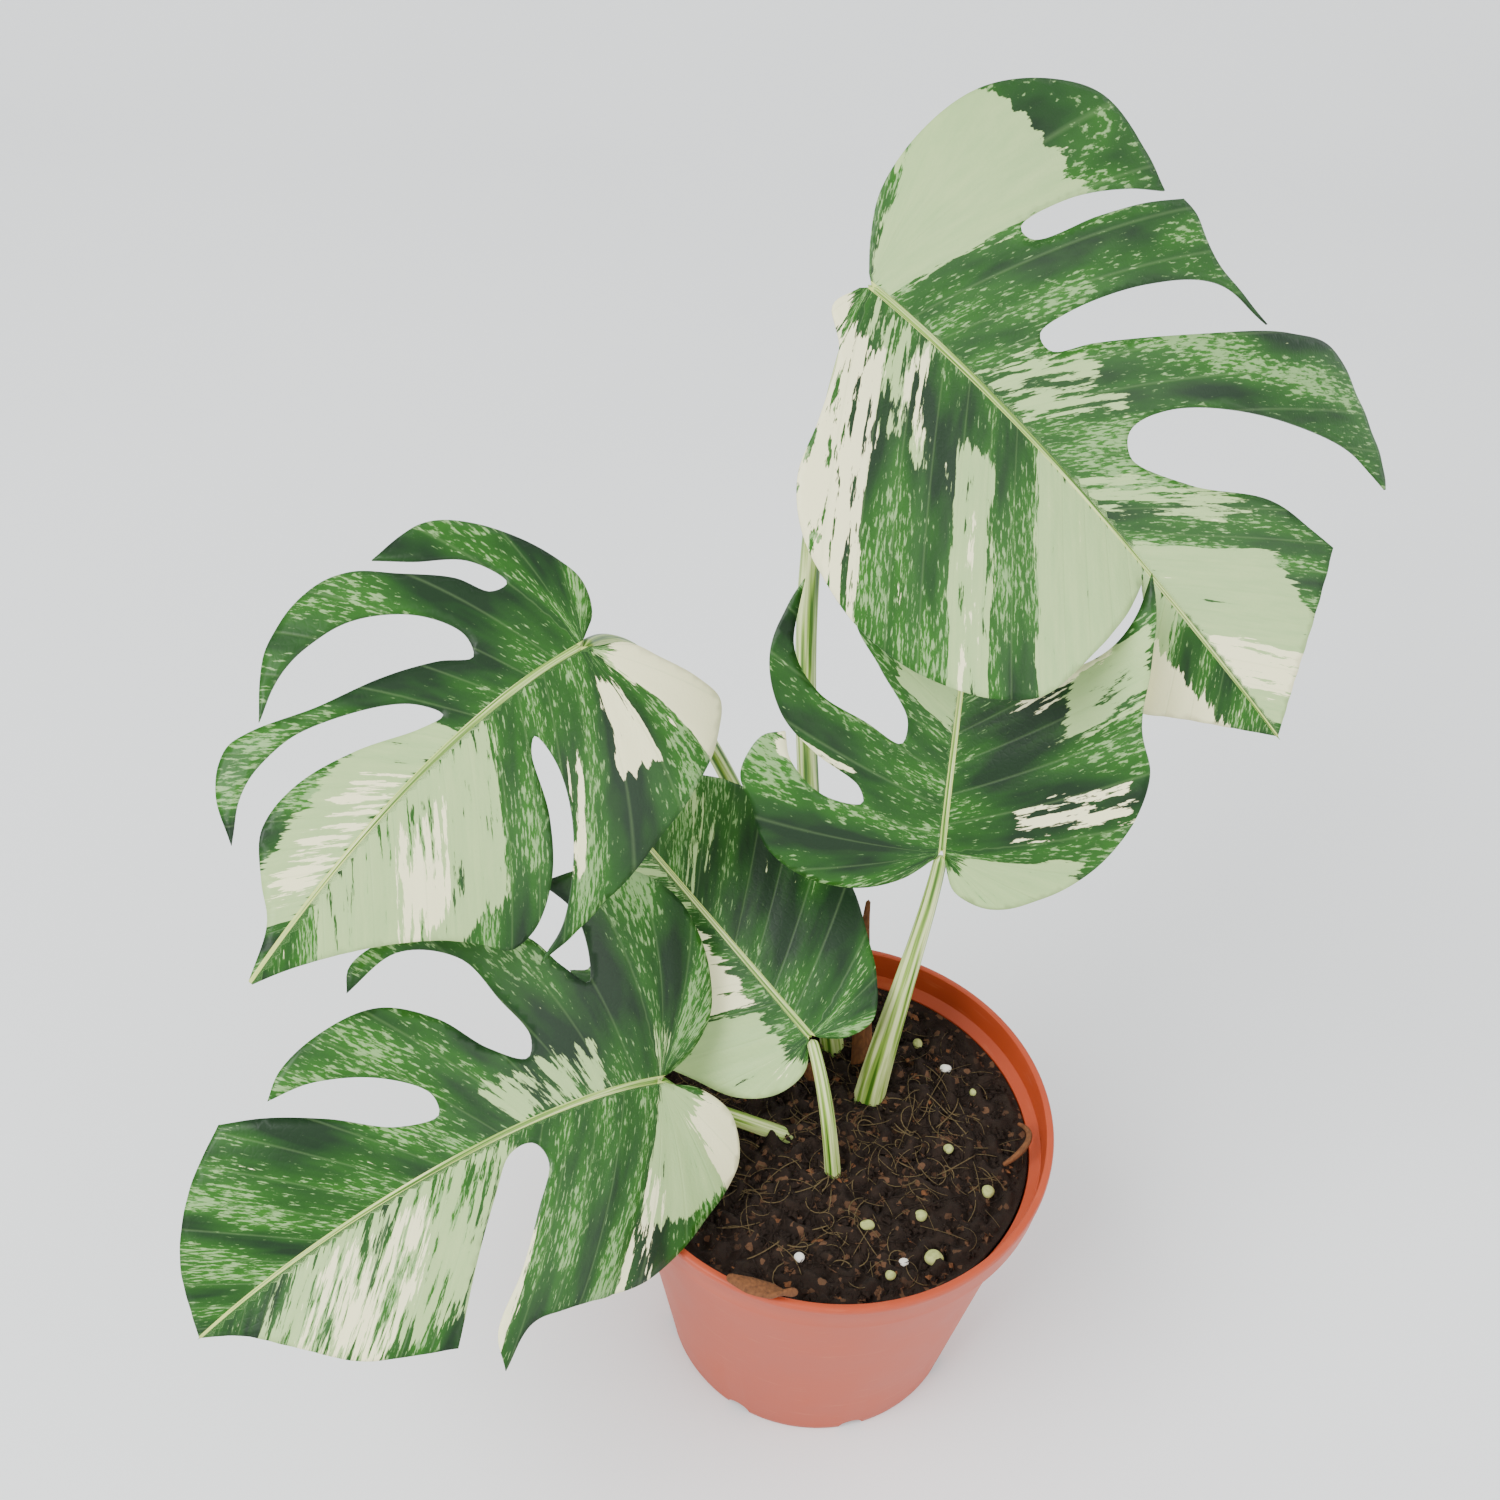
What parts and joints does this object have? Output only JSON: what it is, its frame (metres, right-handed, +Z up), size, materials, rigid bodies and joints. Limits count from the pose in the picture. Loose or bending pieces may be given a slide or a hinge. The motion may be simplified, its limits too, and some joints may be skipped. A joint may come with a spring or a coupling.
{
  "type": "potted monstera plant",
  "caption": "Young variegated monstera with deeply cut leaves on arching stalks, growing in potting mix in a tapered round plastic nursery pot.",
  "frame": {"origin": "centre of the pot's flat base, on the surface it stands on", "axes": "+Z up along the pot's axis, -Y towards the viewer's front, +X to the viewer's right"},
  "size_m": [0.3974, 0.2993, 0.4681],
  "materials": {
    "pot_plastic": "terracotta-coloured moulded plastic, satin",
    "potting_mix": "damp dark peat and bark mix",
    "leaf": "waxy green leaf with sage and cream patches",
    "petiole": "smooth pale green stalk",
    "dry_plant": "dry brown sheath, stem, root and bark",
    "pellet": "yellow-green coated fertiliser pellet",
    "perlite": "white porous perlite grain"
  },
  "bodies": {
    "root": {"pot": "pot_plastic", "soil": "potting_mix", "blade_a": "leaf", "blade_b": "leaf", "blade_c": "leaf", "blade_d": "leaf", "blade_e": "leaf", "petiole_a": "petiole", "petiole_b": "petiole", "petiole_c": "petiole", "petiole_d": "petiole", "petiole_e": "petiole", "dry_sheath": "dry_plant", "old_stem": "dry_plant", "root_curl": "dry_plant", "bark_chip": "dry_plant", "pellet_1": "pellet", "pellet_2": "pellet", "pellet_3": "pellet", "pellet_4": "pellet", "pellet_5": "pellet", "pellet_6": "pellet", "pellet_7": "pellet", "pellet_8": "pellet", "perlite_1": "perlite", "perlite_2": "perlite", "perlite_3": "perlite"}
  },
  "joints": []
}
